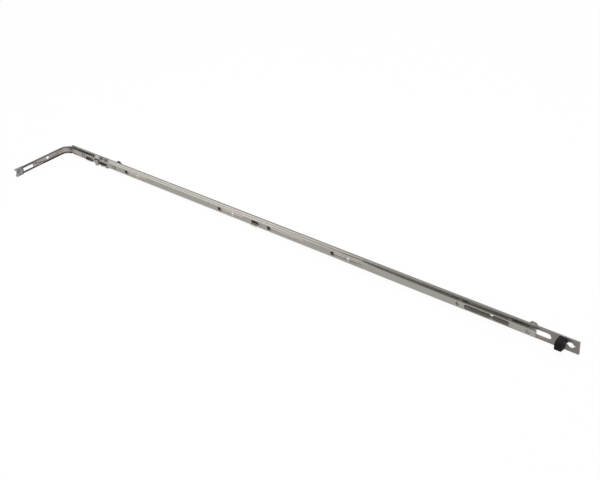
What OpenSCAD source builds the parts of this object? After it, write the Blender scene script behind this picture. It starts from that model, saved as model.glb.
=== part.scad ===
// Espagnolette bar with a corner drive.
// X runs along the bar away from the corner, Z across its width, and Y through it:
// the drive rod and the corner drive lie on the -Y side, the locking cams on the +Y side.
// The origin is on the axis of the first fixing hole, at the faceplate's inner face.

/* [Faceplate] */
// Length from the corner line to the free end
plate_len = 955; // [925:1:1000]
// Width of the strip
plate_w = 17.4; // [17.2:0.1:22]
// Thickness of the strip
plate_t = 2.3; // [1.8:0.1:3]
// Length of the tongue that reaches over the bend
tongue_len = 10; // [8:0.5:13]
// Width of the tongue
tongue_w = 13; // [9:0.5:14]
// Length of the relief groove above the corner drive
relief_len = 59; // [30:1:64]
// Width of the relief groove
relief_w = 1.8; // [1.4:0.1:2.2]
// Depth of the relief groove
relief_h = 1.6; // [0.8:0.1:1.6]

/* [Fixing screws] */
// Distance from the corner line to the first hole
first_screw = 174; // [168:0.5:176]
// Distance from the last hole to the free end
last_inset = 113.5; // [112:0.5:115]
// Radius of a hole
screw_r = 2.7; // [2.4:0.05:2.8]
// Depth of its countersink on the outer face
sink_h = 1.6; // [0.8:0.1:1.7]

/* [Drive rod] */
// Width of the rod
rod_w = 9.8; // [9:0.1:11]
// Thickness of the rod on the corner side
near_t = 3; // [2.6:0.1:3.2]
// Thickness of the rod on the free side
far_t = 1.9; // [1.6:0.1:2.2]
// Gap behind the rod on the corner side
near_gap = 0.2; // [0.15:0.05:0.4]
// Gap behind the rod on the free side
far_gap = 2.6; // [2:0.1:3]
// Travel away from the corner
travel = 18; // [12:0.5:18]
// Distance from the rod's free end to the faceplate's
rod_inset = 52; // [50:1:54]
// Width of the rod's slots
slot_w = 6; // [5.6:0.1:6.4]
// Width of the long slot near the free end
long_slot_w = 6.8; // [6:0.1:7]

/* [Locking cams] */
// Distance from the corner line to the first cam
first_cam = 118; // [114:0.5:119]
// Distance from the second cam to the rod's free end
cam_inset = 10; // [9:0.5:12]
// Radius of the roller under its rim
roller_r = 4.8; // [4.6:0.1:5.4]
// Radius of the roller's rim
rim_r = 6; // [5.6:0.1:6.6]
// Height of the roller above the faceplate
roller_h = 8; // [6:0.5:10]
// Radius of the pin that the roller turns on
pin_r = 3; // [2.6:0.1:3.2]

/* [Corner drive] */
// Distance from the corner line to the leg's outer face
leg_offset = 17; // [16:0.5:19]
// Outer radius of the bend
bend_r = 15; // [13:0.5:16]
// Width of the corner channel
channel_w = 11.2; // [10.8:0.1:11.6]
// Depth of the channel on the leg and in the bend
channel_d = 4; // [3.8:0.1:5]
// Depth of the channel on the bar
bar_channel_d = 2.2; // [1.8:0.1:2.2]
// Length of the channel on the bar
bar_channel_len = 44; // [42:1:45]
// Thickness of the channel's floor
floor_t = 1.2; // [0.8:0.1:1.3]
// Thickness of the channel's walls
wall_t = 0.8; // [0.6:0.1:1]
// Distance from the corner line to the leg's fixing hole
leg_screw = 43; // [42:0.5:44]
// Thickness of one band leaf
leaf_t = 0.28; // [0.2:0.02:0.28]
// Thickness of the two sliders
slider_t = 1.4; // [1.2:0.1:1.8]

/* [Coupling] */
// Distance from the corner line to the joint of slider and rod
joint_at = 68; // [67:0.5:69]
// Thickness of the coupling clip
clip_t = 1; // [0.8:0.1:1.2]
// Radius of the clip's half-round nose
clip_r = 4; // [3.4:0.1:4.4]
// Radius of the two pressed pockets beside the joint
pocket_r = 3.2; // [2.8:0.1:3.4]
// Radius of the bump
bump_r = 4.4; // [3.8:0.1:4.6]
// Wall of the pressed forms
lip_t = 1; // [0.8:0.1:1.2]

/* [Claw] */
// Length from the corner line to the tips of the claw
leg_len = 111.5; // [110:0.5:116]
// Length of the claw along the leg
claw_len = 15; // [14:0.5:16]
// Height of the claw across the leg
claw_w = 13; // [12.8:0.1:15]
// Depth of the claw's mouth
mouth_d = 3; // [2.6:0.1:4]

/* [End lug] */
// Distance from the lug's middle to the free end
lug_inset = 19.6; // [19:0.2:21]
// Length of the lug along the bar
lug_len = 9; // [8:0.2:9.4]
// Reach of the lug into the groove
lug_reach = 13.6; // [10:0.2:15]
// Distance from the coupling hole to the free end
key_inset = 10.6; // [10:0.2:10.8]
// Radius of the coupling hole
key_hole_r = 4.3; // [4:0.1:4.6]
// Reach of the hole's two ears from its middle
key_ear = 6; // [5.6:0.1:6.6]

/* [Hidden] */
$fn = 48;
mouth_z = 2.2;

zinc = "silver";
steel = "lightgray";
dark = "dimgray";

// Clearances that every fit shares
slide_gap = 0.1;
run_gap = 0.05;
seat_gap = 0.02;
cut = 1;

// Places along the bar, from the corner line
screw_pitch = (plate_len - first_screw - last_inset) / 3;
rod_end = plate_len - rod_inset;
second_cam = rod_end - cam_inset;
lug_at = plate_len - lug_inset;
key_at = plate_len - key_inset;

// Places across the bar's thickness
near_back = -near_gap;
near_face = near_back - near_t;
far_back = -far_gap;
far_face = far_back - far_t;

// The three leaves of the band, counted from the channel's floor
leaf_gap = 0.03;
leaf_pitch = leaf_t + leaf_gap;
band_top = floor_t + slide_gap + 3 * leaf_pitch;
slider_back = band_top + slide_gap / 2;
slider_face = slider_back + slider_t;
channel_in = channel_w - 2 * wall_t;
slider_w = channel_in - 2 * slide_gap;
band_w = slider_w - 0.4;
leg_x = -leg_offset - first_screw;
bend_at = bend_r - leg_offset;

// Slots of the rod: the middle of the left end and the far end, from the corner line
screws = [for (i = [0:3]) first_screw + i * screw_pitch];
free_slot = (screws[1] + screws[2]) / 2;
slot_starts = [screws[0] - 24.2, screws[1] - 24.5, free_slot - 33.4, screws[2] - 25];
slot_ends = [screws[0] + 28, screws[1] + 28, free_slot + 33.6, screws[2] + 25.4];
long_slot = [screws[3] - 36, screws[3] + 27.1];
spare_hole = long_slot[0] - 9.5;
spare_r = 2.4;
bump_at = slot_ends[1] + 23;
dimple_at = screws[1] - 45.5;
spread_start = slot_starts[3] + 6;
spread_end = spread_start + 72;

// Blind holes in the faceplate beside the slots' left ends
dot_r = 2;
dot_depth = 1.6;
dot_shift = 1.6;

// Cam slots of the faceplate and the collars that run in them
collar_r = pin_r + 1.1;
cam_slot_w = 2 * collar_r + 0.5;
cam_slot_ends = [-cam_slot_w / 2, travel + cam_slot_w / 2 + 5];
shank_r = 1.8;
head_t = 0.4;
ring_r = 3;
ring_h = 0.4;
washer_t = 0.3;
roller_foot = plate_t + washer_t + 2 * slide_gap;
roller_top = plate_t + roller_h;
rim_t = 2;
sink_t = 1.1;

// The corner slider's tongue and the claw's joint
tee_w = 4;
tee_head_w = 7;
tee_head_len = 3.4;
slider_start = 20;
leg_slider_start = leg_screw + 12.5;
notch_len = 10.5;
claw_start = leg_len - claw_len;
channel_end = claw_start - 0.9;
window_start = leg_screw + 30.5;
window_end = channel_end - 2.7;
screw_pass = 5.2;

function at(d) = d - first_screw;

// A block between two places along X, two across Z and two through Y
module block(x, z, y) {
    translate([x[0], y[0], z[0]]) cube([x[1] - x[0], y[1] - y[0], z[1] - z[0]]);
}

// A round bar along Y
module bar_y(x, z, r, y) {
    translate([x, y[0], z]) rotate([-90, 0, 0]) cylinder(h = y[1] - y[0], r = r);
}

// A slot with round ends, cut along Y
module slot_y(x, z, w, y) {
    for (end = [x[0] + w / 2, x[1] - w / 2]) bar_y(end, z, w / 2, y);
    block([x[0] + w / 2, x[1] - w / 2], [z - w / 2, z + w / 2], y);
}

// The same three shapes on the leg: s is the distance from the bar, d the depth from the leg's outer face
module leg_block(s, z, d) {
    block([leg_x + d[0], leg_x + d[1]], z, [-s[1], -s[0]]);
}
module leg_bar(s, z, r, d) {
    translate([leg_x + d[0], -s, z]) rotate([0, 90, 0]) cylinder(h = d[1] - d[0], r = r);
}
module leg_slot(s, z, w, d) {
    for (end = [s[0] + w / 2, s[1] - w / 2]) leg_bar(end, z, w / 2, d);
    leg_block([s[0] + w / 2, s[1] - w / 2], [z - w / 2, z + w / 2], d);
}

// A quarter turn round the bend's centre, of a profile drawn as depth and height
module bend() {
    translate([at(bend_at), -bend_r, 0]) rotate([0, 0, 90]) rotate_extrude(angle = 90, $fn = 96) children();
}

// A rectangle of the bend's profile, from depth d[0] to d[1] inside the outer face
module bend_part(d, z) {
    translate([bend_r - d[1], z[0]]) square([d[1] - d[0], z[1] - z[0]]);
}

// A pressed lip on the face at depth y: a quarter-round gutter with round ends, open upwards
module lip(x, len, z, r, y) {
    half = len / 2 - r;
    translate([x - half, y, z]) rotate([90, 0, 90]) linear_extrude(height = 2 * half) mirror([1, 0]) lip_section(r);
    for (side = [-1, 1])
        translate([x + side * half, y, z]) rotate([0, 0, side > 0 ? -90 : 180]) rotate_extrude(angle = 90) lip_section(r);
}
module lip_section(r) {
    intersection() {
        difference() {
            circle(r = r);
            circle(r = r - lip_t);
        }
        translate([0, -r]) square(r);
    }
}

module faceplate() {
    top = plate_w / 2;
    color(zinc) difference() {
        union() {
            block([at(0), at(plate_len)], [-top, top], [0, plate_t]);
            block([at(tongue_w / 2 - tongue_len), at(1)], [-tongue_w / 2, tongue_w / 2], [0, plate_t]);
            bar_y(at(tongue_w / 2 - tongue_len), 0, tongue_w / 2, [0, plate_t]);
            guide_lugs();
        }
        for (i = [0:3]) {
            bar_y(i * screw_pitch, 0, screw_r, [-cut, plate_t + cut]);
            translate([i * screw_pitch, plate_t - sink_h, 0]) rotate([-90, 0, 0])
                cylinder(h = sink_h + 0.01, r1 = screw_r, r2 = screw_r + sink_h + 0.01);
        }
        for (cam = [first_cam, second_cam])
            slot_y([at(cam) + cam_slot_ends[0], at(cam) + cam_slot_ends[1]], 0, cam_slot_w, [-cut, plate_t + cut]);
        for (x = slot_starts) bar_y(at(x) - dot_shift, 0, dot_r, [-cut, dot_depth]);
        slot_y([at(5.5), at(5.5 + relief_len)], top - 2.1, relief_w, [-cut, relief_h]);
        bar_y(at(key_at), 0, key_hole_r, [-cut, plate_t + cut]);
        slot_y([at(key_at) - key_ear, at(key_at) + key_ear], 0, 3.4, [-cut, plate_t + cut]);
        bar_y(at(lug_at), lug_peg_z, lug_peg_r + seat_gap, [-cut, plate_t + cut]);
        for (x = rivet_places) bar_y(at(x), 0, rivet_r + seat_gap, [-cut, plate_t + cut]);
    }
}

// Small lugs pressed out of the faceplate's edges, which guide the rod sideways
lug_clear = rod_w / 2 + 0.4;
module guide_lugs() {
    for (x = [joint_at + 11, joint_at + 24]) for (side = [0, 1]) mirror([0, 0, side])
        block([at(x), at(x + 6)], [lug_clear, plate_w / 2], [-2.4, 0.5]);
}

// Rivets that hold the channel's floor to the faceplate
rivet_places = [8, 36];
rivet_r = 2;
module corner_rivets() {
    color(steel) for (x = rivet_places) {
        bar_y(at(x), 0, rivet_r, [-floor_t + 0.05, plate_t + 0.01]);
        translate([at(x), plate_t, 0]) rotate([-90, 0, 0]) rivet_head(rivet_r + 1.2, 0.8);
    }
}

// A low domed head, flat side down
module rivet_head(r, h) {
    ball = (r * r + h * h) / (2 * h);
    rotate_extrude() intersection() {
        translate([0, h - ball]) circle(r = ball, $fn = 96);
        square([r, h]);
    }
}

module corner_channel() {
    half = channel_w / 2;
    color(zinc) difference() {
        union() {
            bend() {
                bend_part([0, floor_t], [-half, half]);
                for (side = [0, 1]) mirror([0, side]) {
                    bend_part([0, channel_d], [half - wall_t, half]);
                    bend_part([slider_back, slider_back + 0.6], [half - wall_t - 0.9, half - wall_t]);
                }
            }
            leg_block([bend_r, channel_end], [-half, half], [0, floor_t]);
            block([at(bend_at), at(bar_channel_len)], [-half, half], [-floor_t, 0]);
            for (low = [-half, half - wall_t]) {
                leg_block([bend_r, channel_end], [low, low + wall_t], [0, channel_d]);
                block([at(bend_at), at(bar_channel_len)], [low, low + wall_t], [-bar_channel_d, 0]);
            }
        }
        leg_bar(leg_screw, 0, screw_r, [-cut, floor_t + cut]);
        leg_slot([window_start, window_end], 0, 2, [-cut, floor_t + cut]);
        leg_block([window_start, window_end], [-channel_in / 2, channel_in / 2], [-cut, floor_t + cut]);
        for (x = rivet_places) bar_y(at(x), 0, rivet_r + seat_gap, [-floor_t - cut, cut]);
    }
}

// One leaf of the spring band, number 0 next to the floor
module leaf(number) {
    depth = floor_t + slide_gap + number * leaf_pitch;
    low = -band_w / 2;
    high = band_w / 2;
    color(steel) difference() {
        union() {
            bend() bend_part([depth, depth + leaf_t], [low, high]);
            block([at(bend_at), at(bar_channel_len)], [low, high], [-depth - leaf_t, -depth]);
            leg_block([bend_r, window_start - 1], [low, high], [depth, depth + leaf_t]);
        }
        leg_slot([leg_screw - travel - screw_pass / 2, leg_screw + travel + screw_pass / 2], 0, screw_pass,
            [depth - cut, depth + leaf_t + cut]);
        for (x = slider_rivet_places) bar_y(at(x), 0, small_rivet_r + seat_gap, [-depth - leaf_t - cut, -depth + cut]);
        for (z = leg_rivet_heights)
            leg_bar(leg_rivet_at, z, small_rivet_r + seat_gap, [depth - cut, depth + leaf_t + cut]);
    }
}
module band_outer() {
    leaf(0);
}
module band_middle() {
    leaf(1);
}
module band_inner() {
    leaf(2);
}

// The slider on the bar, with its pressed pocket and the tee that the rod takes hold of
small_rivet_r = 0.9;
slider_rivet_places = [31.5, 37.5];
leg_rivet_at = window_start - 2.3;
leg_rivet_heights = [-2.8, 2.8];
pocket_len = 19;
pocket_h = 3.4;
slider_pocket_h = 4.2;
pocket_z = -1.2;
lip_z = pocket_z - 1.2;
module corner_slider() {
    pocket_at = joint_at - 16.5;
    half = slider_w / 2;
    color(zinc) {
        difference() {
            union() {
                block([at(slider_start), at(joint_at - 4)], [-half, half], [-slider_face, -slider_back]);
                block([at(joint_at - 5), at(joint_at)], [-tee_w / 2, tee_w / 2], [-slider_face, -slider_back]);
                block([at(joint_at), at(joint_at + tee_head_len)], [-tee_head_w / 2, tee_head_w / 2],
                    [-slider_face, -slider_back]);
            }
            slot_y([at(pocket_at - pocket_len / 2), at(pocket_at + pocket_len / 2)], pocket_z, slider_pocket_h,
                [-slider_face - cut, -slider_back + cut]);
            for (x = slider_rivet_places)
                bar_y(at(x), 0, small_rivet_r + seat_gap, [-slider_face - cut, -slider_back + cut]);
            bar_y(at(joint_at) - 2, 0, clip_rivet_r + seat_gap, [-slider_face - cut, -slider_back + cut]);
        }
        lip(at(pocket_at), pocket_len, lip_z, pocket_r, -slider_face);
    }
}

module slider_rivets() {
    color(dark) for (x = slider_rivet_places) {
        bar_y(at(x), 0, small_rivet_r, [-slider_face, -floor_t - slide_gap]);
        block([at(x) - 0.8, at(x) + 0.8], [-3.4, 3.4], [-slider_face - 0.6, -slider_face]);
    }
}

// A clip that covers the joint and carries a half-round nose, open at the top
clip_rivet_r = 1;
nose_top = 3.5;
nose_foot = -6.9;
module coupling_clip() {
    half = slider_w / 2;
    seat = -slider_face - seat_gap;
    nose = at(joint_at + 5);
    color(zinc) difference() {
        union() {
            block([at(joint_at) - 5, nose + clip_r], [-half, half], [seat - clip_t, seat]);
            intersection() {
                translate([nose, seat, nose_foot]) cylinder(h = nose_top - nose_foot, r = clip_r);
                block([nose - clip_r, nose + clip_r], [nose_foot, nose_top], [seat - clip_r, seat]);
            }
        }
        intersection() {
            translate([nose, seat - clip_t, nose_foot + clip_t]) cylinder(h = 12, r = clip_r - clip_t);
            block([nose - clip_r, nose + clip_r], [nose_foot, nose_top + cut], [seat - clip_r, seat - clip_t]);
        }
        bar_y(at(joint_at) - 2, 0, clip_rivet_r + seat_gap, [seat - 9, seat + cut]);
    }
}
module clip_rivet() {
    front = -slider_face - seat_gap - clip_t;
    color(dark) {
        bar_y(at(joint_at) - 2, 0, clip_rivet_r, [front, -slider_back]);
        translate([at(joint_at) - 2, front, 0]) rotate([90, 0, 0]) rivet_head(clip_rivet_r + 0.7, 0.5);
    }
}

// The rod: a strip with a joggle, keyhole slots, cam holes, a pressed pocket and a pressed bump
bump_len = 17.7;
bump_hole_len = 13.6;
rod_pocket_at = joint_at + 20.5;
module drive_rod() {
    half = rod_w / 2;
    start = at(joint_at - 3.6);
    color(zinc) {
        difference() {
            translate([0, 0, -half]) linear_extrude(height = rod_w) polygon([
                [start, near_back], [at(spread_start), near_back], [at(spread_end), far_back], [at(rod_end), far_back],
                [at(rod_end), far_face], [at(spread_end), far_face], [at(spread_start), near_face], [start, near_face]
            ]);
            rod_cuts();
        }
        lip(at(rod_pocket_at), pocket_len, lip_z, pocket_r, near_face);
        lip(at(bump_at), bump_len, -1.6, bump_r, near_face);
    }
}
module rod_cuts() {
    through = [far_face - cut, near_back + cut];
    for (i = [0:3]) slot_y([at(slot_starts[i]) - slot_w / 2, at(slot_ends[i])], 0, slot_w, through);
    slot_y([at(long_slot[0]), at(long_slot[1])], 0, long_slot_w, through);
    bar_y(at(spare_hole), 0, spare_r, through);
    bar_y(at(dimple_at), 3.9, 0.7, [near_face - cut, near_face + 0.4]);
    for (cam = [first_cam, second_cam]) bar_y(at(cam), 0, shank_r + run_gap, through);
    bar_y(at(first_cam), 0, ring_r, [near_face - cut, near_face + ring_h]);
    bar_y(at(second_cam), 0, ring_r, [far_face - cut, far_face + ring_h]);
    slot_y([at(rod_pocket_at - pocket_len / 2), at(rod_pocket_at + pocket_len / 2)], pocket_z, pocket_h, through);
    slot_y([at(bump_at) - bump_hole_len / 2, at(bump_at) + bump_hole_len / 2], 1.6, 3.4, through);
    block([at(joint_at - 6), at(joint_at) - slide_gap + 0.2], [-tee_w / 2 - slide_gap, tee_w / 2 + slide_gap], through);
    block([at(joint_at) - slide_gap, at(joint_at + tee_head_len) + slide_gap],
        [-tee_head_w / 2 - slide_gap, tee_head_w / 2 + slide_gap], through);
}

// One cam: a stepped pin riveted into the rod, a friction washer and a mushroom roller
module cam_pin(x, back, face) {
    color(steel) difference() {
        union() {
            bar_y(x, 0, shank_r, [face + ring_h, back]);
            bar_y(x, 0, collar_r, [back, roller_foot - washer_t - slide_gap]);
            bar_y(x, 0, pin_r, [plate_t, roller_top - sink_t]);
            bar_y(x, 0, pin_r + 1, [roller_top - sink_t + run_gap, roller_top - 0.3]);
            bar_y(x, 0, pin_r, [roller_top - sink_t - 0.1, roller_top - 0.5]);
            translate([x, face + ring_h, 0]) rotate([90, 0, 0]) rivet_head(shank_r + 0.6, head_t + ring_h);
        }
        translate([x, roller_top - 2.2, 0]) rotate([-90, 0, 0]) cylinder(h = 4, r = 1.9, $fn = 6);
    }
}
module cam_washer(x) {
    low = roller_foot - washer_t - slide_gap / 2;
    color(dark) difference() {
        bar_y(x, 0, collar_r + 0.4, [low, low + washer_t]);
        bar_y(x, 0, pin_r + run_gap, [low - cut, low + washer_t + cut]);
    }
}
module cam_roller(x) {
    bore = pin_r + run_gap;
    color(zinc) translate([x, 0, 0]) rotate([-90, 0, 0]) rotate_extrude() polygon([
        [bore, roller_foot], [roller_r - 0.4, roller_foot], [roller_r, roller_foot + 0.4],
        [roller_r, roller_top - rim_t - 0.8], [rim_r, roller_top - rim_t], [rim_r, roller_top - 0.5],
        [rim_r - 0.5, roller_top], [bore + 1.3, roller_top], [bore + 1.3, roller_top - sink_t],
        [bore, roller_top - sink_t]
    ]);
}
module left_cam_pin() {
    cam_pin(at(first_cam), near_back, near_face);
}
module left_cam_washer() {
    cam_washer(at(first_cam));
}
module left_cam_roller() {
    cam_roller(at(first_cam));
}
module right_cam_pin() {
    cam_pin(at(second_cam), far_back, far_face);
}
module right_cam_washer() {
    cam_washer(at(second_cam));
}
module right_cam_roller() {
    cam_roller(at(second_cam));
}

// The slider on the leg: a notch that passes the fixing screw, and a window behind it
module leg_slider() {
    half = slider_w / 2;
    rail = 1.6;
    color(zinc) difference() {
        leg_block([leg_slider_start, leg_len - mouth_d - 0.6], [-half, half], [slider_back, slider_face]);
        leg_slot([leg_slider_start - 5, leg_slider_start + notch_len], 0, screw_pass, [slider_back - cut, slider_face + cut]);
        leg_block([window_start, window_end + 2], [-half + rail, half - rail], [slider_back - cut, slider_face + cut]);
        for (z = leg_rivet_heights)
            leg_bar(leg_rivet_at, z, small_rivet_r + seat_gap, [slider_back - cut, slider_face + cut]);
        leg_bar(claw_start + 2, 0, claw_rivet_r + seat_gap, [slider_back - cut, slider_face + cut]);
    }
}

module leg_rivets() {
    color(dark) for (z = leg_rivet_heights) {
        leg_bar(leg_rivet_at, z, small_rivet_r, [floor_t + slide_gap, slider_face]);
        translate([leg_x + slider_face, -leg_rivet_at, z]) rotate([0, 90, 0]) rivet_head(1.5, 0.5);
    }
}

// The claw straddles the channel; its notched mouth takes hold of the next rod
claw_rivet_r = 1.3;
claw_foot = claw_w / 2;
module leg_claw() {
    inside = channel_w / 2 + slide_gap;
    web = channel_d + slide_gap;
    front = web + 1;
    color(zinc) difference() {
        union() {
            difference() {
                translate([leg_x + 0.8, 0, 0]) rotate([0, 90, 0]) rotate([0, 0, 90])
                    linear_extrude(height = front - 0.8) claw_outline();
                leg_block([claw_start - cut, leg_len + cut], [-inside, inside], [0, web]);
            }
            leg_block([claw_start, claw_start + 4], [-tee_w, tee_w], [slider_face + seat_gap, web + 0.1]);
        }
        for (z = [-3.6, 5]) leg_slot([claw_start + 5.6, claw_start + 9.4], z, 1.6, [-cut, front + cut]);
        leg_slot([claw_start + 5.6, leg_len + 4], mouth_z, 3, [-cut, front + cut]);
        leg_bar(claw_start + 2, 0, claw_rivet_r + seat_gap, [-cut, front + cut]);
    }
}

// The claw from the front, with the way along the leg to the left and the notches cut in the mouth
module claw_outline() {
    tip = leg_len;
    mouth = tip - mouth_d;
    difference() {
        polygon([
            [-claw_start, -claw_foot], [2 - tip, -claw_foot], [-tip, -claw_foot + 3], [-tip + 1.2, -1],
            [-mouth, mouth_z], [-tip + 2, 4.6], [-tip + 0.8, claw_foot + 0.2], [3.2 - tip, claw_foot + 0.6],
            [-claw_start, claw_foot + 0.3]
        ]);
        for (step = [0.3, 0.7]) {
            translate([-mouth - step * 3.4, mouth_z - step * 5.2]) circle(r = 0.7);
            translate([-mouth - step * 3.2, mouth_z + step * 4]) circle(r = 0.7);
        }
    }
}
module claw_rivet() {
    front = channel_d + slide_gap + 1;
    color(dark) {
        leg_bar(claw_start + 2, 0, claw_rivet_r, [slider_back, front]);
        translate([leg_x + front, -claw_start - 2, 0]) rotate([0, 90, 0]) rivet_head(claw_rivet_r + 0.7, 0.5);
    }
}

// The plastic lug that sits in the groove, held by a split peg through the faceplate
lug_peg_r = 2;
lug_peg_z = 5;
module end_lug() {
    nose_r = 6;
    high = plate_w / 2 - 0.2;
    color("black") {
        translate([at(lug_at) - lug_len / 2, 0, 0]) rotate([90, 0, 90]) linear_extrude(height = lug_len) {
            polygon([[-seat_gap, 1.4], [-3, 0.8], [-lug_reach, -2.6], [-lug_reach, high - nose_r],
                [nose_r - lug_reach, high], [-seat_gap, high]]);
            translate([nose_r - lug_reach, high - nose_r]) circle(r = nose_r);
        }
        difference() {
            union() {
                bar_y(at(lug_at), lug_peg_z, lug_peg_r, [-1, plate_t + 0.1]);
                translate([at(lug_at), plate_t + 0.1, lug_peg_z]) rotate([-90, 0, 0])
                    cylinder(h = 1.2, r1 = lug_peg_r + 0.6, r2 = lug_peg_r - 0.4);
            }
            block([at(lug_at) - 0.4, at(lug_at) + 0.4], [lug_peg_z - 4, lug_peg_z + 4], [0.4, plate_t + 3]);
        }
    }
}

faceplate();
corner_channel();
corner_rivets();
band_outer();
band_middle();
band_inner();
corner_slider();
slider_rivets();
coupling_clip();
clip_rivet();
drive_rod();
left_cam_pin();
left_cam_washer();
left_cam_roller();
right_cam_pin();
right_cam_washer();
right_cam_roller();
leg_slider();
leg_rivets();
leg_claw();
claw_rivet();
end_lug();
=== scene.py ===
"""Dresses the espagnolette bar: plated, rolled and moulded finishes with painted light and shade, and a
plain studio.

The spring band is built new, because its leaves slide and bend with the two sliders.
"""

import math

import bpy
import numpy as np
from mathutils import Matrix, Vector


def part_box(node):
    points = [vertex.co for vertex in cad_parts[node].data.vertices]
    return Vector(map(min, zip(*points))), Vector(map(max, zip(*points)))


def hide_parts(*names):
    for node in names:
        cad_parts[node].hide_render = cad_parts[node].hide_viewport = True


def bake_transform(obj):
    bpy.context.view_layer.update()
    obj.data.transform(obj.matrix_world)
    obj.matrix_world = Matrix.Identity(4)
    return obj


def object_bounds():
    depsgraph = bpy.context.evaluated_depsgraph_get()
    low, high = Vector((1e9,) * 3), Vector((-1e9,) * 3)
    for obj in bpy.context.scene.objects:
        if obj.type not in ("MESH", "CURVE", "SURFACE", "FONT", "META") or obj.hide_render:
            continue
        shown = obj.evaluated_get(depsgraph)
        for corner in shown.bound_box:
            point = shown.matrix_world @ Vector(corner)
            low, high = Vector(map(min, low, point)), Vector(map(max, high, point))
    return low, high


bl_info = {
    "name": "Espagnolette bar with corner drive",
    "version": (1, 0, 0),
    "blender": (4, 5, 0),
    "location": "View3D > Sidebar > Espagnolette",
    "description": "Finishes the packed espagnolette bar and sets it in a plain studio",
    "category": "Object",
}

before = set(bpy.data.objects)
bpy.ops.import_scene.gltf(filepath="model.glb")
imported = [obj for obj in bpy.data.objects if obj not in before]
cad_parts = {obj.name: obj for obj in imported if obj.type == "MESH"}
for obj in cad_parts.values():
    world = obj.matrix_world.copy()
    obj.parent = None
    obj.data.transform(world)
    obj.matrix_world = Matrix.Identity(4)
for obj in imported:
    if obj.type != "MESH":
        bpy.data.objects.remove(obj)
CAD_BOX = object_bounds()

MM = 0.001

# The faceplate's tongue reaches this far past the corner line
TONGUE_LENGTH = 10 * MM

# Places read from the frame, in metres: the corner line, and the leg's outer face and lower end
CORNER_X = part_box("faceplate")[0].x + TONGUE_LENGTH
CHANNEL_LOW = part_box("corner_channel")[0]
LEG_X = CHANNEL_LOW.x
LEG_END = CHANNEL_LOW.y

# The zones of the finishes, most of them places of painted light and shade, are boxes in millimetres, each
# with its limits along X, Y and Z.
# On the bar X is counted from the corner line, and on the leg from the leg's outer face.

# Layers through the bar's thickness
STRIP_FACE = (-0.5, 0.3)
STRIP_BODY = (-0.1, 2.4)
ROD_BODY = (-3.15, -0.1)
ROD_FACE = (-3.3, -3.0)
RAISED_ROD_FACE = (-4.45, -4.05)

# Zones of the faceplate
# Painted light on the faceplate beside and behind the rod and on the tongue's edge
BESIDE_ROD = ((5, 900), STRIP_FACE, (4.85, 8.6))
BEHIND_ROD = ((109, 902), STRIP_FACE, (-4.85, 4.85))
TONGUE_EDGE = ((-11, 0), (-0.1, 2.25), (5.4, 6.6))
# Painted shade on the faceplate in the gap behind the rod's raised part and behind its long slot
GAP_SHADE = ((560, 910), STRIP_FACE, (4.5, 8.6))
BEHIND_LONG_SLOT_LOW = ((780, 890), STRIP_FACE, (-8.0, 0.8))
BEHIND_LONG_SLOT_HIGH = ((780, 890), STRIP_FACE, (0.8, 4.6))
# The faceplate's cut edges and guide lugs
CUT_EDGE = ((-20, 1000), STRIP_BODY, (8.6, 9.2))
GUIDE_LUG = ((78, 99), (-2.5, -0.05), (5.2, 8.8))
# Painted shade in the groove and on the faceplate behind the clip, the bump and the slider's pocket
RELIEF_GROOVE = ((5.3, 64.7), (0.02, 1.75), (5.5, 7.8))
BEHIND_CLIP = ((66, 108), STRIP_FACE, (-5.0, 4.9))
BEHIND_BUMP = ((434, 471), STRIP_FACE, (-4.8, 4.8))
BEHIND_SLIDER_POCKET = ((40, 66), STRIP_FACE, (-5.0, 1.2))

# Zones of the rod and the corner's slider
# Painted light and shade on the rod's sides, and painted light on the bump's lip
ROD_SIDE = ((60, 910), (-6.0, 0.0), (4.85, 5.0))
BUMP_LIP = ((432, 463), (-8.0, -3.2), (-6.1, -0.2))
# Painted shade in the openings and pockets and in the ring round the right cam's rivet
BUMP_OPENING = ((438, 457), ROD_BODY, (-0.4, 3.6))
ROD_POCKET_OPENING = ((78.4, 98.6), ROD_BODY, (-3.1, 0.7))
ROD_POCKET_LIP = ((78.4, 98.6), (-5.43, -3.2), (-4.63, -2.35))
SLIDER_POCKET_OPENING = ((41.4, 61.6), (-3.6, -0.1), (-3.5, 1.1))
SLIDER_POCKET_LIP = ((41.4, 61.6), (-5.91, -3.68), (-4.63, -2.35))
RIGHT_CAM_RING = ((889.8, 896.2), RAISED_ROD_FACE, (-3.1, 3.1))
# Dark strokes beside the left cam, and painted shade in the dimple
STROKE_LEFT_OF_CAM = ((113.2, 113.9), ROD_FACE, (-2.6, 3.0))
STROKE_RIGHT_OF_CAM = ((121.0, 122.9), ROD_FACE, (-3.0, 3.0))
DIMPLE = ((350, 352), (-3.15, -2.7), (3.1, 4.7))

# The rod's slots: the middles of their round left ends, half their width, the length of their walls with
# painted light, and how far their ends with painted shade reach past those middles
SLOT_STARTS = (149.8, 372.0, 474.35, 594.0)
SLOT_HALF = 3.05
SLOT_WALL = 72
PAST_MIDDLE = 0.5

# The faceplate's blind holes behind those left ends, which get painted shade: how far they reach to the
# left, their depth and half their width
DOT_REACH = 3.7
DOT_DEPTH = (0.02, 1.7)
DOT_HALF = 2.1

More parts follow.
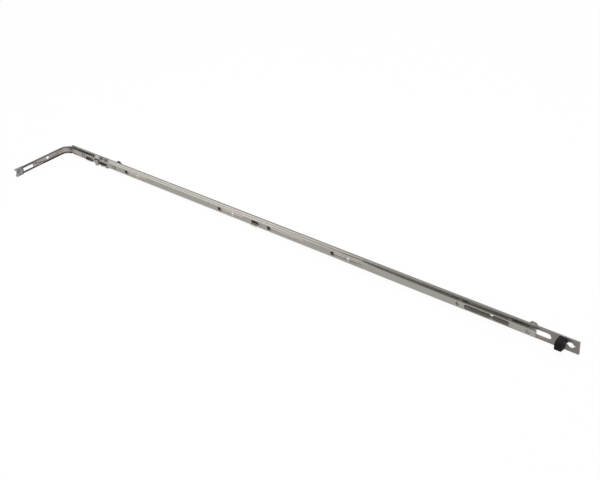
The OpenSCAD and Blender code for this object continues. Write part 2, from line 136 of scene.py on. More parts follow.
# Zones of the leg, all with painted shade. Those of the channel's depth reach on round the bend to its end
# on the bar.
LEG_DEPTH = (-1, 24)
CHANNEL_DEPTH = (-1, 63)
LEG_FACE = (1.25, 24)
LEG_WAY = (LEG_END / MM - 1, 1)
UPPER_WALL = (LEG_DEPTH, LEG_WAY, (4.85, 5.7))
UPPER_EDGE = (CHANNEL_DEPTH, LEG_WAY, (4.7, 5.7))
LOWER_WALL = (LEG_DEPTH, LEG_WAY, (-5.7, -4.2))
WINDOW_RAIL = (LEG_FACE, (-95, -73), (3.0, 5.0))
UPPER_MARK = (LEG_FACE, (-72.5, -66.5), (0.8, 3.2))
LOWER_MARK = (LEG_FACE, (-72.5, -66.5), (-3.6, -1.8))
BAND_FOOT = (CHANNEL_DEPTH, (LEG_END / MM, 1), (-5.0, -3.7))

# Zones of the claw, all with painted shade
CLAW_DEPTH = (-1, 5.05)
MOUTH = (CLAW_DEPTH, (-111, -101.5), (0.65, 3.75))
LOWER_SLOT = (CLAW_DEPTH, (-106.5, -101.5), (-4.45, -2.75))
UPPER_SLOT = (CLAW_DEPTH, (-106.5, -101.5), (4.15, 5.85))
NECK = ((-1, 6), (-98.6, -96), (-8, 8))

# Ramps of the painted light, shade and reflection and of the tail's colour, in millimetres from the corner
# line, or across the bar
# from its middle line: a colour starts at the first place and is full at the second
# Painted darker reflection on the faceplate towards its free end
DIM_REFLECTION = (420, 760)
# Painted light beside and behind the rod, in its slots and on its sides, and painted shade on its sides
# further along
BRIGHT_BESIDE_ROD = (1200, 450)
BRIGHT_BEHIND_ROD = (1300, 560)
BRIGHT_IN_ROD = (1050, 450)
BRIGHT_ROD_SIDE = (700, 450)
SHADED_ROD_SIDE = (640, 800)
# Painted shade in the gap behind the rod's raised part, darkest next to the rod, and behind its long slot
GAP_SHADE_START = (740, 840)
GAP_SHADE_END = (903, 885)
GAP_SHADE_ACROSS = (8.2, 4.9)
LONG_SLOT_START = (785, 810)
LONG_SLOT_END = (885, 862)
TAIL = (890, 925)

# The leaves of the band, and how finely their paths are divided
BAND_NODES = ("band_outer", "band_middle", "band_inner")
LEG_STEPS = 241
BAR_STEPS = 81

# The camera that was fitted to the photograph: its directions, and its sensor's width in millimetres
CAMERA_RIGHT = Vector((0.74805, 0.65737, -0.09101))
CAMERA_UP = Vector((-0.29475, 0.45197, 0.84193))
CAMERA_BACK = Vector((0.59459, -0.60298, 0.53186))
SENSOR_WIDTH = 36

# The studio's floor and lamps, in metres
FLOOR_HALF = 8.0
FLOOR_GAP = 0.5 * MM
FLOOR_WHITE = (0.9, 0.9, 0.9, 1)
LAMP_AIM = (0.3, -0.03, 0.0)
KEY_AT = (0.2, 0.1, 1.6)
KEY_SIZE = 1.6
FILL_AT = (0.9, -1.4, 0.9)
FILL_SIZE = 1.2


def colour_setting(name, description, default):
    """A colour that a user can change."""
    return bpy.props.FloatVectorProperty(
        name=name, description=description, subtype="COLOR", size=3, default=default
    )


class FinishSettings(bpy.types.PropertyGroup):
    """Colours and roughness of the metals and the plastic, with the colours of painted light and shade."""

    zinc: colour_setting("Zinc", "Colour of the plated strips", (0.352, 0.339, 0.315))
    roughness: bpy.props.FloatProperty(
        name="Roughness", description="Roughness of the plated strips", default=0.42, min=0.1, max=0.9
    )
    # Painted reflection: a darker colour towards the faceplate's free end stands in for the darker
    # reflection there
    dim_reflection: colour_setting("Dim reflection", "Colour of the faceplate towards its free end", (0.275, 0.25, 0.218))
    # Painted light: a light colour stands in for light on the faceplate beside and behind the rod, on the
    # tongue's edge and on the rod's slot walls, bump lip and sides
    bright: colour_setting(
        "Painted light", "Colour of faces beside and behind the rod and in its slots", (0.70, 0.677, 0.635)
    )
    tail: colour_setting("Tail", "Colour of the faceplate beyond the rod", (0.203, 0.188, 0.170))
    edge: colour_setting(
        "Cut edge", "Colour of the faceplate's cut edges and guide lugs", (0.20, 0.19, 0.175)
    )
    # Painted shade in the groove, behind the rod, the clip and the bump, and on the rod's sides further
    # along
    shade: colour_setting("Shade", "Colour of the groove and of faces behind the rod", (0.13, 0.12, 0.105))
    # Painted shade: a dark colour stands in for the shade in the gap behind the rod's raised part
    track: colour_setting(
        "Gap shade", "Colour of the faceplate behind the raised part of the rod", (0.08, 0.072, 0.062)
    )
    # Painted shade: a dark colour stands in for the shade in the blind holes, at the slots' left ends and
    # in the rod's openings
    dot: colour_setting(
        "Dot", "Colour of the blind holes, the slots' left ends and the rod's openings", (0.26, 0.225, 0.19)
    )
    # Painted shade: a near-black colour stands in for the shade inside the pockets, the claw's mouth and
    # slots and the dimple; it also darkens the strokes beside the left cam
    recess_shade: colour_setting(
        "Recess shade", "Colour inside the slider's pocket and the claw's mouth", (0.025, 0.021, 0.018)
    )
    leg: colour_setting("Leg", "Colour of the corner channel and the leg's slider", (0.385, 0.348, 0.328))
    # Painted shade: a dark colour stands in for the shade on the channel's upper wall and edge, on the
    # rails and marks by the window and at the claw's neck
    wall: colour_setting(
        "Channel wall", "Colour of the corner channel's upper wall and the claw's neck", (0.11, 0.095, 0.09)
    )
    # Painted shade on the channel's lower wall and the band's foot
    lower_wall_shade: colour_setting(
        "Lower wall shade", "Colour of the corner channel's lower wall and the band's foot", (0.05, 0.042, 0.04)
    )
    claw: colour_setting("Claw", "Colour of the claw", (0.29, 0.295, 0.30))
    band: colour_setting("Spring steel", "Colour of the rolled band", (0.37, 0.338, 0.32))
    pin: colour_setting("Pins", "Colour of pins and rivets", (0.30, 0.295, 0.28))
    left_roller: colour_setting("Left roller", "Colour of the blackened left roller", (0.03, 0.028, 0.027))
    plastic: colour_setting("Plastic", "Colour of the moulded lug", (0.004, 0.004, 0.0045))


class BandSettings(bpy.types.PropertyGroup):
    """Sizes of the spring band that joins the two sliders round the bend."""

    leaf: bpy.props.FloatProperty(
        name="Leaf", description="Thickness of one leaf", subtype="DISTANCE",
        default=0.28 * MM, min=0.1 * MM, max=0.4 * MM
    )
    bend: bpy.props.FloatProperty(
        name="Bend", description="Outer radius of the corner's bend", subtype="DISTANCE", default=15 * MM
    )
    slot_width: bpy.props.FloatProperty(
        name="Slot width", description="Width of the slot that passes the screw", subtype="DISTANCE",
        default=5.2 * MM
    )
    slot_start: bpy.props.FloatProperty(
        name="Slot start", description="Start of the slot along the leg", subtype="DISTANCE",
        default=22.4 * MM
    )
    slot_end: bpy.props.FloatProperty(
        name="Slot end", description="End of the slot along the leg", subtype="DISTANCE",
        default=63.6 * MM
    )


class StudioSettings(bpy.types.PropertyGroup):
    """Camera and light of the plain studio."""

    lens: bpy.props.FloatProperty(
        name="Lens", description="Focal length in millimetres", default=54.43, min=20, max=120
    )
    camera_at: bpy.props.FloatVectorProperty(
        name="Camera", description="Place of the camera", subtype="TRANSLATION", size=3,
        default=(1.1186, -0.7706, 0.6783)
    )
    sky: bpy.props.FloatProperty(
        name="Sky", description="Strength of the soft light all round", default=0.62, min=0, max=2
    )
    key_power: bpy.props.FloatProperty(
        name="Key light", description="Power of the lamp above", default=16.0, min=0, max=200
    )
    fill_power: bpy.props.FloatProperty(
        name="Fill light", description="Power of the lamp in front", default=3.0, min=0, max=100
    )


def shader_tree(name):
    """A new material, with its node tree and its surface shader."""
    material = bpy.data.materials.new(name)
    material.use_nodes = True
    tree = material.node_tree
    shader = tree.nodes["Principled BSDF"]
    return material, tree, shader


def object_pattern(tree, scale, detail, stretch=(1, 1, 1)):
    """Noise over the object's own coordinates, in metres times the stretch."""
    coords = tree.nodes.new("ShaderNodeTexCoord")
    mapping = tree.nodes.new("ShaderNodeMapping")
    mapping.inputs["Scale"].default_value = stretch
    noise = tree.nodes.new("ShaderNodeTexNoise")
    noise.inputs["Scale"].default_value = scale
    noise.inputs["Detail"].default_value = detail
    tree.links.new(coords.outputs["Object"], mapping.inputs["Vector"])
    tree.links.new(mapping.outputs["Vector"], noise.inputs["Vector"])
    return noise.outputs["Fac"]


def shades(tree, factor, dark, light, low=0.35, high=0.65):
    """A ramp from the dark to the light shade over the middle of the factor's range."""
    node = tree.nodes.new("ShaderNodeValToRGB")
    node.color_ramp.elements[0].position = low
    node.color_ramp.elements[1].position = high
    node.color_ramp.elements[0].color = (*dark, 1)
    node.color_ramp.elements[1].color = (*light, 1)
    tree.links.new(factor, node.inputs["Fac"])
    return node.outputs["Color"]


def spread(tree, factor, low, high, start=0.3, end=0.7):
    """The middle of the factor's range, spread between two values."""
    node = tree.nodes.new("ShaderNodeMapRange")
    node.inputs["From Min"].default_value = start
    node.inputs["From Max"].default_value = end
    node.inputs["To Min"].default_value = low
    node.inputs["To Max"].default_value = high
    tree.links.new(factor, node.inputs["Value"])
    return node.outputs["Result"]


def relief(tree, shader, factor, height, strength):
    """Fine unevenness of the surface."""
    bump = tree.nodes.new("ShaderNodeBump")
    bump.inputs["Distance"].default_value = height
    bump.inputs["Strength"].default_value = strength
    tree.links.new(factor, bump.inputs["Height"])
    tree.links.new(bump.outputs["Normal"], shader.inputs["Normal"])


def joined(tree, operation, first, second):
    """Two values put together by one operation. The second is a number or another node's output."""
    node = tree.nodes.new("ShaderNodeMath")
    node.operation = operation
    tree.links.new(first, node.inputs[0])
    if isinstance(second, float):
        node.inputs[1].default_value = second
    else:
        tree.links.new(second, node.inputs[1])
    return node.outputs[0]


def both(tree, first, second):
    """The product of two masks."""
    return joined(tree, "MULTIPLY", first, second)


def two_shades(colour, dark_share, light_share):
    """A darker and a lighter shade of one colour, no lighter than white."""
    dark = tuple(channel * dark_share for channel in colour)
    light = tuple(min(1, channel * light_share) for channel in colour)
    return dark, light


def rolled_metal(name, colour, roughness, rolling, contrast=0.05):
    """Strip metal: cloudy plating, faint streaks along the axis of rolling, and small changes of gloss.

    The shade follows the mean of clouds and streaks.
    """
    streak_scale = 0.03
    gloss_change = 0.06
    material, tree, shader = shader_tree(name)
    stretch = tuple(streak_scale if axis == rolling else 1.0 for axis in "XYZ")
    clouds = object_pattern(tree, scale=60, detail=4)
    streaks = object_pattern(tree, scale=900, detail=3, stretch=stretch)
    half_clouds = joined(tree, "MULTIPLY", clouds, 0.5)
    half_streaks = joined(tree, "MULTIPLY", streaks, 0.5)
    pattern = joined(tree, "ADD", half_clouds, half_streaks)
    dark, light = two_shades(colour, dark_share=1 - contrast, light_share=1 + contrast)
    tree.links.new(shades(tree, pattern, dark, light), shader.inputs["Base Color"])
    gloss = spread(tree, streaks, low=roughness - gloss_change, high=roughness + gloss_change)
    tree.links.new(gloss, shader.inputs["Roughness"])
    shader.inputs["Metallic"].default_value = 0.85
    relief(tree, shader, streaks, height=0.03 * MM, strength=0.25)
    return material, tree, shader


def in_zones(tree, zones, start_x):
    """1 inside any of the zones and 0 elsewhere, by Object coordinates.

    Each zone is given in millimetres by its limits along X, counted from the start, and along Y
    and Z. The place is moved and scaled so that the zone reaches from -1 to 1 each way, and it is
    inside where its largest coordinate is under 1.
    """
    coords = tree.nodes.new("ShaderNodeTexCoord")
    total = None
    for zone in zones:
        low, high = (np.array(corner) * MM + (start_x, 0, 0) for corner in zip(*zone))
        middle = (low + high) / 2
        half = (high - low) / 2
        mapping = tree.nodes.new("ShaderNodeMapping")
        mapping.inputs["Scale"].default_value = (1 / half).tolist()
        mapping.inputs["Location"].default_value = (-middle / half).tolist()
        size = tree.nodes.new("ShaderNodeVectorMath")
        size.operation = "ABSOLUTE"
        split = tree.nodes.new("ShaderNodeSeparateXYZ")
        tree.links.new(coords.outputs["Object"], mapping.inputs["Vector"])
        tree.links.new(mapping.outputs["Vector"], size.inputs[0])
        tree.links.new(size.outputs["Vector"], split.inputs["Vector"])
        largest = joined(tree, "MAXIMUM", split.outputs["X"], split.outputs["Y"])
        largest = joined(tree, "MAXIMUM", largest, split.outputs["Z"])
        inside = joined(tree, "LESS_THAN", largest, 1.0)
        total = inside if total is None else joined(tree, "MAXIMUM", total, inside)
    return total


def on_bar(tree, *zones):
    """A mask of zones whose X is counted from the corner line."""
    return in_zones(tree, zones, CORNER_X)


def on_leg(tree, *zones):
    """A mask of zones whose X is counted from the leg's outer face."""
    return in_zones(tree, zones, LEG_X)


def mirrored(zone):
    """A zone and its mirror image on the other side of the strip's middle line."""
    stretch, layer, (low, high) = zone
    return zone, (stretch, layer, (-high, -low))


def ramp(tree, axis, start, end):
    """0 up to the start, rising to 1 at the end, by one of the Object coordinates."""
    coords = tree.nodes.new("ShaderNodeTexCoord")
    split = tree.nodes.new("ShaderNodeSeparateXYZ")
    node = tree.nodes.new("ShaderNodeMapRange")
    node.inputs["From Min"].default_value = start
    node.inputs["From Max"].default_value = end
    tree.links.new(coords.outputs["Object"], split.inputs["Vector"])
    tree.links.new(split.outputs[axis], node.inputs["Value"])
    return node.outputs["Result"]


def along_bar(tree, stretch):
    """A ramp between two distances from the corner line, in millimetres."""
    start, end = stretch
    return ramp(tree, "X", CORNER_X + start * MM, CORNER_X + end * MM)


def across_bar(tree, band):
    """A ramp between two distances from the strip's middle line, in millimetres."""
    start, end = band
    return ramp(tree, "Z", start * MM, end * MM)


def tint(tree, shader, factor, colour):
    """Lays a colour over the base colour by a factor."""
    base = shader.inputs["Base Color"].links[0].from_socket
    mix = tree.nodes.new("ShaderNodeMix")
    mix.data_type = "RGBA"
    mix.inputs["B"].default_value = (*colour, 1)
    tree.links.new(factor, mix.inputs["Factor"])
    tree.links.new(base, mix.inputs["A"])
    tree.links.new(mix.outputs["Result"], shader.inputs["Base Color"])


def strip_metal(settings):
    """The plated faceplate, with painted light beside the rod, a painted darker reflection towards its free
    end and painted shade behind the rod.
    """
    material, tree, shader = rolled_metal("plated_strip", settings.zinc, settings.roughness, rolling="X")
    # Painted darker reflection towards the faceplate's free end
    tint(tree, shader, along_bar(tree, DIM_REFLECTION), settings.dim_reflection)
    # Painted light on the faceplate beside and behind the rod and on the tongue's edge
    beside = both(tree, on_bar(tree, *mirrored(BESIDE_ROD)), along_bar(tree, BRIGHT_BESIDE_ROD))
    tint(tree, shader, beside, settings.bright)
    behind = both(tree, on_bar(tree, BEHIND_ROD), along_bar(tree, BRIGHT_BEHIND_ROD))
    tint(tree, shader, behind, settings.bright)
    tint(tree, shader, on_bar(tree, TONGUE_EDGE), settings.bright)

    # Painted shade in the gap behind the rod's raised part, darkest next to the rod, and behind its long
    # slot
    ends = both(tree, along_bar(tree, GAP_SHADE_START), along_bar(tree, GAP_SHADE_END))
    fade = both(tree, across_bar(tree, GAP_SHADE_ACROSS), ends)
    tint(tree, shader, both(tree, on_bar(tree, GAP_SHADE), fade), settings.track)
    slot = both(tree, along_bar(tree, LONG_SLOT_START), along_bar(tree, LONG_SLOT_END))
    for zone, colour in ((BEHIND_LONG_SLOT_LOW, settings.shade), (BEHIND_LONG_SLOT_HIGH, settings.track)):
        tint(tree, shader, both(tree, on_bar(tree, zone), slot), colour)
    tint(tree, shader, along_bar(tree, TAIL), settings.tail)

    tint(tree, shader, on_bar(tree, *mirrored(CUT_EDGE), *mirrored(GUIDE_LUG)), settings.edge)
    # Painted shade in the groove and on the faceplate behind the clip and the bump
    tint(tree, shader, on_bar(tree, RELIEF_GROOVE, BEHIND_CLIP, BEHIND_BUMP), settings.shade)
    # Painted shade on the faceplate behind the slider's pocket
    tint(tree, shader, on_bar(tree, BEHIND_SLIDER_POCKET), settings.recess_shade)
    # Painted shade in the faceplate's blind holes behind the slots' left ends
    hole_shades = []
    for start in SLOT_STARTS:
        hole_shades.append(((start - DOT_REACH, start + PAST_MIDDLE), DOT_DEPTH, (-DOT_HALF, DOT_HALF)))
    tint(tree, shader, on_bar(tree, *hole_shades), settings.dot)
    return material


def rod_metal(settings):
    """The plated rod, slider and clip: painted light on the slot walls, and painted shade at the slot ends,
    openings and pockets.
    """
    material, tree, shader = rolled_metal("plated_rod", settings.zinc, settings.roughness, rolling="X")
    width = (-SLOT_HALF, SLOT_HALF)
    # Painted light on the slot walls, the bump's lip and the rod's sides, and painted shade on the sides
    # further along
    walls = [((start, start + SLOT_WALL), ROD_BODY, width) for start in SLOT_STARTS]
    bright = both(tree, on_bar(tree, *walls, BUMP_LIP), along_bar(tree, BRIGHT_IN_ROD))
    tint(tree, shader, bright, settings.bright)
    sides = on_bar(tree, *mirrored(ROD_SIDE))
    tint(tree, shader, both(tree, sides, along_bar(tree, BRIGHT_ROD_SIDE)), settings.bright)
    tint(tree, shader, both(tree, sides, along_bar(tree, SHADED_ROD_SIDE)), settings.shade)
    # Painted shade at the slots' left ends, in the openings and pockets and in the ring round the right
    # cam's rivet
    ends = [((start - SLOT_HALF, start + PAST_MIDDLE), ROD_BODY, width) for start in SLOT_STARTS]
    openings = (RIGHT_CAM_RING, ROD_POCKET_OPENING, ROD_POCKET_LIP, BUMP_OPENING)
    tint(tree, shader, on_bar(tree, *openings, *ends), settings.dot)
    # Dark strokes beside the left cam, and painted shade in the dimple and the slider's pocket
    marks = (STROKE_LEFT_OF_CAM, STROKE_RIGHT_OF_CAM, DIMPLE)
    pocket = (SLIDER_POCKET_OPENING, SLIDER_POCKET_LIP)
    tint(tree, shader, on_bar(tree, *marks, *pocket), settings.recess_shade)
    return material


def leg_metal(settings):
    """The corner channel and the leg's slider: painted shade on the walls, and on the rails and marks by
    the window.
    """
    material, tree, shader = rolled_metal("plated_leg", settings.leg, settings.roughness, rolling="Y")
    # Painted shade on the channel's walls and edge and on the rails and marks by the window
    rails = mirrored(WINDOW_RAIL)
    walls = on_leg(tree, UPPER_WALL, UPPER_EDGE, *rails, UPPER_MARK, LOWER_MARK)
    tint(tree, shader, walls, settings.wall)
    tint(tree, shader, on_leg(tree, LOWER_WALL), settings.lower_wall_shade)
    return material


def claw_metal(settings):
    """The claw: cooler and a little darker than the strips, with painted shade in its mouth, slots and
    neck.
    """
    material, tree, shader = rolled_metal("plated_claw", settings.claw, settings.roughness, rolling="Y")
    tint(tree, shader, on_leg(tree, MOUTH, LOWER_SLOT, UPPER_SLOT), settings.recess_shade)
    tint(tree, shader, on_leg(tree, NECK), settings.wall)
    return material


def band_metal(settings):
    """The rolled spring steel of the band, dark where its foot lies in the channel's shade."""
    material, tree, shader = rolled_metal(
        "rolled_band", settings.band, roughness=0.38, rolling="Y", contrast=0.14
    )
    tint(tree, shader, on_leg(tree, BAND_FOOT), settings.lower_wall_shade)
    return material


def turned_metal(name, colour, roughness):
    """Pins, rivets, washers and rollers: evenly cloudy steel."""
    material, tree, shader = shader_tree(name)
    clouds = object_pattern(tree, scale=400, detail=3)
    dark, light = two_shades(colour, dark_share=0.8, light_share=1.15)
    tree.links.new(shades(tree, clouds, dark, light), shader.inputs["Base Color"])
    gloss = spread(tree, clouds, low=roughness - 0.05, high=roughness + 0.08)
    tree.links.new(gloss, shader.inputs["Roughness"])
    shader.inputs["Metallic"].default_value = 0.9
    return material


def moulded_plastic(settings):
    """Black moulded plastic with a fine grain."""
    material, tree, shader = shader_tree("moulded_plastic")
    grain = object_pattern(tree, scale=1500, detail=2)
    clouds = object_pattern(tree, scale=120, detail=3)
    dark, light = two_shades(settings.plastic, dark_share=0.8, light_share=1.4)
    tree.links.new(shades(tree, clouds, dark, light), shader.inputs["Base Color"])
    tree.links.new(spread(tree, clouds, low=0.5, high=0.65), shader.inputs["Roughness"])
    shader.inputs["Specular IOR Level"].default_value = 0.12
    relief(tree, shader, grain, height=0.04 * MM, strength=0.3)
    return material


def give(node, material):
    """Puts a material on a CAD node or a new piece."""
    mesh = node.data
    mesh.materials.clear()
    mesh.materials.append(material)


def mesh_piece(name, points, faces):
    """A new mesh object at the origin, from an array of points and an array of four-sided faces."""
    mesh = bpy.data.meshes.new(name)
    mesh.from_pydata(points.tolist(), [], faces.tolist())
    mesh.validate()
    piece = bpy.data.objects.new(name, mesh)
    bpy.context.collection.objects.link(piece)
    return piece


def clean_mesh(piece, merge=0.001 * MM, smooth_angle=35):
    """Merges doubles, turns the faces outwards and shades the curved parts smoothly."""
    bpy.context.view_layer.objects.active = piece
    bpy.ops.object.select_all(action="DESELECT")
    piece.select_set(True)
    bpy.ops.object.mode_set(mode="EDIT")
    bpy.ops.mesh.select_all(action="SELECT")
    bpy.ops.mesh.remove_doubles(threshold=merge)
    bpy.ops.mesh.normals_make_consistent(inside=False)
    bpy.ops.object.mode_set(mode="OBJECT")
    bpy.ops.object.shade_smooth_by_angle(angle=math.radians(smooth_angle))
    piece.select_set(False)


def turn_length(radius, depth):
    """The way of a leaf round the bend: a quarter of a circle, its radius less by the leaf's depth."""
    return 0.5 * math.pi * (radius - depth)


def band_path(radius, depth, leg_end, bar_end, steps):
    """The way, the points and the outward normals of a leaf that lies at one depth inside the channel.

    Along the bar the point runs at Y = -depth. Round the bend it is the bend's centre plus
    (radius - depth) times (-sin a, cos a), with a from 0 to 90 degrees. Along the leg it
    runs at X = leg face + depth. The way along the path is counted from the bend's start on the bar.
    """
    bend_x = LEG_X + radius
    turn = turn_length(radius, depth)
    way = np.linspace(-bar_end, turn + leg_end, steps)
    angle = np.clip(way / turn, 0, 1) * 0.5 * math.pi
    before = np.minimum(way, 0)
    after = np.maximum(way - turn, 0)
    x = bend_x - (radius - depth) * np.sin(angle) - before
    y = -radius + (radius - depth) * np.cos(angle) - after
    normal = np.stack([-np.sin(angle), np.cos(angle)], axis=1)
    return way, np.stack([x, y], axis=1), normal


def leaf_surface(name, radius, depth, leaf, width, leg_end, bar_end, slot, steps):
    """One leaf of the band, as two halves that meet on the middle line.

    Each half has four corners at every step of the path: its inner edge on the outward and on the
    inward face, then its outer edge on the inward and on the outward face. The outer edge lies at
    half the leaf's width. The inner edge lies at 0 outside the slot, at sqrt(r^2 - d^2) in the
    slot's round ends, where r is half the slot's width and d the distance from the round end's
    middle, and at r between them.
    """
    way, centre, normal = band_path(radius, depth, leg_end, bar_end, steps)
    slot_start, slot_end, slot_width = slot
    r = slot_width / 2
    down_leg = way - turn_length(radius, depth) + radius
    reach = np.minimum(down_leg - slot_start, slot_end - down_leg)
    distance = np.clip(r - reach, 0, r)
    inner = np.where(reach <= 0, 0.0, np.sqrt(np.clip(r * r - distance ** 2, 0, None)))
    outer = np.full(steps, width / 2)
    corners = 4
    points, faces, offset = [], [], 0
    for side in (-1, 1):
        for height, inwards in ((inner, 0), (inner, 1), (outer, 1), (outer, 0)):
            flat = centre - normal * (leaf * inwards)
            points.append(np.column_stack([flat, side * height]))
        first = np.arange(steps - 1)
        ring = [offset + corner * steps + first for corner in range(corners)]
        for corner in range(corners):
            following = (corner + 1) % corners
            near, far = ring[corner], ring[following]
            quads = np.column_stack([near, far, far + 1, near + 1])
            if corner == 0:
                # The wall of the slot, left out where the slot is closed
                open_here = (inner[:-1] > 0) | (inner[1:] > 0)
                quads = quads[open_here]
            faces.append(quads)
        for step in (0, steps - 1):
            faces.append(np.array([[offset + corner * steps + step for corner in range(corners)]]))
        offset += corners * steps
    piece = mesh_piece(name, np.concatenate(points), np.concatenate(faces))
    clean_mesh(piece)
    return piece


class ESPAGNOLETTE_OT_strips(bpy.types.Operator):
    """Gives the faceplate, the drive rod and the corner's pressed pieces their plating, with painted light
    and shade
    """

    bl_idname = "espagnolette.strips"
    bl_label = "Dress the strips"

    def execute(self, context):
        settings = context.scene.espagnolette_finish
        give(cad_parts["faceplate"], strip_metal(settings))
        rod = rod_metal(settings)
        for name in ("drive_rod", "corner_slider", "coupling_clip"):
            give(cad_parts[name], rod)
        leg = leg_metal(settings)
        for name in ("corner_channel", "leg_slider"):
            give(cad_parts[name], leg)
        give(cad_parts["leg_claw"], claw_metal(settings))
        return {"FINISHED"}


class ESPAGNOLETTE_OT_cams(bpy.types.Operator):
    """Gives the cam pins, washers, rollers and the rivets their turned steel"""

    bl_idname = "espagnolette.cams"
    bl_label = "Dress the cams and rivets"

    def execute(self, context):
        settings = context.scene.espagnolette_finish
        plated = turned_metal("turned_roller", settings.zinc, roughness=0.35)
        pin = turned_metal("turned_pin", settings.pin, roughness=0.4)
        black = turned_metal("blackened_roller", settings.left_roller, roughness=0.45)
        for side, roller in (("left", black), ("right", plated)):
            give(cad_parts[side + "_cam_roller"], roller)
            give(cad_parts[side + "_cam_pin"], pin)
            give(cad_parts[side + "_cam_washer"], pin)
        for name in ("corner_rivets", "slider_rivets", "clip_rivet", "leg_rivets", "claw_rivet"):
            give(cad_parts[name], pin)
        return {"FINISHED"}


class ESPAGNOLETTE_OT_band(bpy.types.Operator):
    """Builds the spring band's leaves, which slide and bend with the two sliders"""

    bl_idname = "espagnolette.band"
    bl_label = "Build the spring band"

    def execute(self, context):
        scene = context.scene
        band = scene.espagnolette_band
        steel = band_metal(scene.espagnolette_finish)
        radius = band.bend
        bend_x = LEG_X + radius
        slot = (band.slot_start, band.slot_end, band.slot_width)
        for node in BAND_NODES:
            low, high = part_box(node)
            depth = low.x - LEG_X
            width = high.z - low.z
            turn = turn_length(radius, depth)
            leg_part = leaf_surface(
                node + "_leg", radius, depth, band.leaf, width, -low.y - radius, 0.0, slot, LEG_STEPS
            )
            give(leg_part, steel)
            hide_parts(node)
            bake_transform(leg_part)
            bar_part = leaf_surface(
                node + "_bar", radius, depth, band.leaf, width, -turn, high.x - bend_x, slot, BAR_STEPS
            )
            give(bar_part, steel)
            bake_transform(bar_part)
        return {"FINISHED"}


class ESPAGNOLETTE_OT_lug(bpy.types.Operator):
    """Gives the end lug its moulded plastic"""

    bl_idname = "espagnolette.lug"
    bl_label = "Dress the end lug"

    def execute(self, context):
        give(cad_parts["end_lug"], moulded_plastic(context.scene.espagnolette_finish))
        return {"FINISHED"}


def studio_rays(tree):
    """1 for camera, glossy and transmission rays, which see the plain white studio, and 0 for others."""
    rays = tree.nodes.new("ShaderNodeLightPath").outputs
    seen = joined(tree, "MAXIMUM", rays["Is Camera Ray"], rays["Is Glossy Ray"])
    return joined(tree, "MAXIMUM", seen, rays["Is Transmission Ray"])


def studio_world(settings):
    """White to the eye and to metal, and an even soft sky to everything else."""
    world = bpy.data.worlds.new("studio_world")
    bpy.context.scene.world = world
    world.use_nodes = True
    tree = world.node_tree
    background = tree.nodes["Background"]
    background.inputs["Color"].default_value = (1, 1, 1, 1)
    strength = tree.nodes.new("ShaderNodeMapRange")
    strength.inputs["To Min"].default_value = settings.sky
    strength.inputs["To Max"].default_value = 1.0
    tree.links.new(studio_rays(tree), strength.inputs["Value"])
    tree.links.new(strength.outputs["Result"], background.inputs["Strength"])


def floor_finish(glow_share=0.95):
    """White that keeps the soft shadow and otherwise shows the background's white."""
    material = bpy.data.materials.new("studio_floor")
    material.use_nodes = True
    tree = material.node_tree
    tree.nodes.clear()
    diffuse = tree.nodes.new("ShaderNodeBsdfDiffuse")
    diffuse.inputs["Color"].default_value = FLOOR_WHITE
    glow = tree.nodes.new("ShaderNodeEmission")
    glow.inputs["Color"].default_value = (1, 1, 1, 1)
    mix = tree.nodes.new("ShaderNodeMixShader")
    output = tree.nodes.new("ShaderNodeOutputMaterial")
    tree.links.new(joined(tree, "MULTIPLY", studio_rays(tree), glow_share), mix.inputs["Fac"])
    tree.links.new(diffuse.outputs[0], mix.inputs[1])
    tree.links.new(glow.outputs[0], mix.inputs[2])
    tree.links.new(mix.outputs[0], output.inputs["Surface"])
    return material


def studio_floor():
    """A wide level square just under the bar."""
    level = CAD_BOX[0][2] - FLOOR_GAP
    corners = [(-1, -1), (1, -1), (1, 1), (-1, 1)]
    points = np.array([(x * FLOOR_HALF, y * FLOOR_HALF, level) for x, y in corners])
    floor = mesh_piece("studio_floor", points, np.array([[0, 1, 2, 3]]))
    floor.data.materials.append(floor_finish())
    return floor


def photo_camera(settings):
    """The camera that was fitted to the photograph."""
    lens = bpy.data.cameras.new("photo_camera")
    lens.lens = settings.lens
    lens.sensor_width = SENSOR_WIDTH
    lens.sensor_fit = "HORIZONTAL"
    lens.clip_start = 0.01
    camera = bpy.data.objects.new("photo_camera", lens)
    bpy.context.collection.objects.link(camera)
    turn = Matrix((CAMERA_RIGHT, CAMERA_UP, CAMERA_BACK)).transposed().to_4x4()
    camera.matrix_world = Matrix.Translation(Vector(settings.camera_at)) @ turn
    return camera


def area_lamp(name, stand, aim, size, power):
    """A square soft lamp that stands at a point and faces another."""
    lamp = bpy.data.lights.new(name, "AREA")
    lamp.size = size
    lamp.energy = power
    holder = bpy.data.objects.new(name, lamp)
    bpy.context.collection.objects.link(holder)
    holder.location = stand
    holder.rotation_euler = (Vector(aim) - Vector(stand)).to_track_quat("-Z", "Y").to_euler()


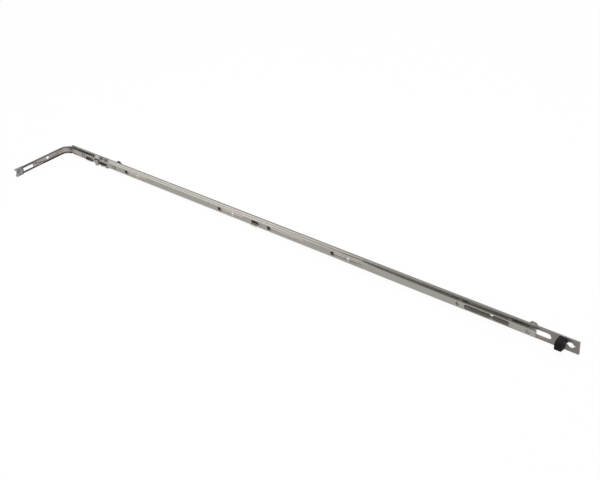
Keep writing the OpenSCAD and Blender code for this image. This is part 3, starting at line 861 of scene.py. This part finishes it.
class ESPAGNOLETTE_OT_studio(bpy.types.Operator):
    """Sets the camera, the floor, the sky and the lamps"""

    bl_idname = "espagnolette.studio"
    bl_label = "Set the studio"

    def execute(self, context):
        settings = context.scene.espagnolette_studio
        context.scene.camera = photo_camera(settings)
        studio_floor()
        studio_world(settings)
        area_lamp("key", KEY_AT, LAMP_AIM, KEY_SIZE, settings.key_power)
        area_lamp("fill", FILL_AT, LAMP_AIM, FILL_SIZE, settings.fill_power)
        context.scene.view_settings.view_transform = "Standard"
        return {"FINISHED"}


class ESPAGNOLETTE_PT_panel(bpy.types.Panel):
    """Lists the steps that dress the bar"""

    bl_idname = "ESPAGNOLETTE_PT_panel"
    bl_label = "Espagnolette bar"
    bl_space_type = "VIEW_3D"
    bl_region_type = "UI"
    bl_category = "Espagnolette"

    def draw(self, context):
        for step in STEPS:
            self.layout.operator(step.bl_idname, text=step.bl_label)


STEPS = (
    ESPAGNOLETTE_OT_strips,
    ESPAGNOLETTE_OT_cams,
    ESPAGNOLETTE_OT_band,
    ESPAGNOLETTE_OT_lug,
    ESPAGNOLETTE_OT_studio,
)
SETTINGS = {
    "espagnolette_finish": FinishSettings,
    "espagnolette_band": BandSettings,
    "espagnolette_studio": StudioSettings,
}


def register():
    """Registers the settings, the steps and the panel."""
    for name, group in SETTINGS.items():
        bpy.utils.register_class(group)
        setattr(bpy.types.Scene, name, bpy.props.PointerProperty(type=group))
    for step in STEPS:
        bpy.utils.register_class(step)
    bpy.utils.register_class(ESPAGNOLETTE_PT_panel)


def unregister():
    """Takes everything back out, in the opposite order."""
    bpy.utils.unregister_class(ESPAGNOLETTE_PT_panel)
    for step in reversed(STEPS):
        bpy.utils.unregister_class(step)
    for name, group in reversed(list(SETTINGS.items())):
        delattr(bpy.types.Scene, name)
        bpy.utils.unregister_class(group)


def main():
    """Runs every step."""
    register()
    bpy.ops.espagnolette.strips()
    bpy.ops.espagnolette.cams()
    bpy.ops.espagnolette.band()
    bpy.ops.espagnolette.lug()
    bpy.ops.espagnolette.studio()


if __name__ == "__main__":
    main()
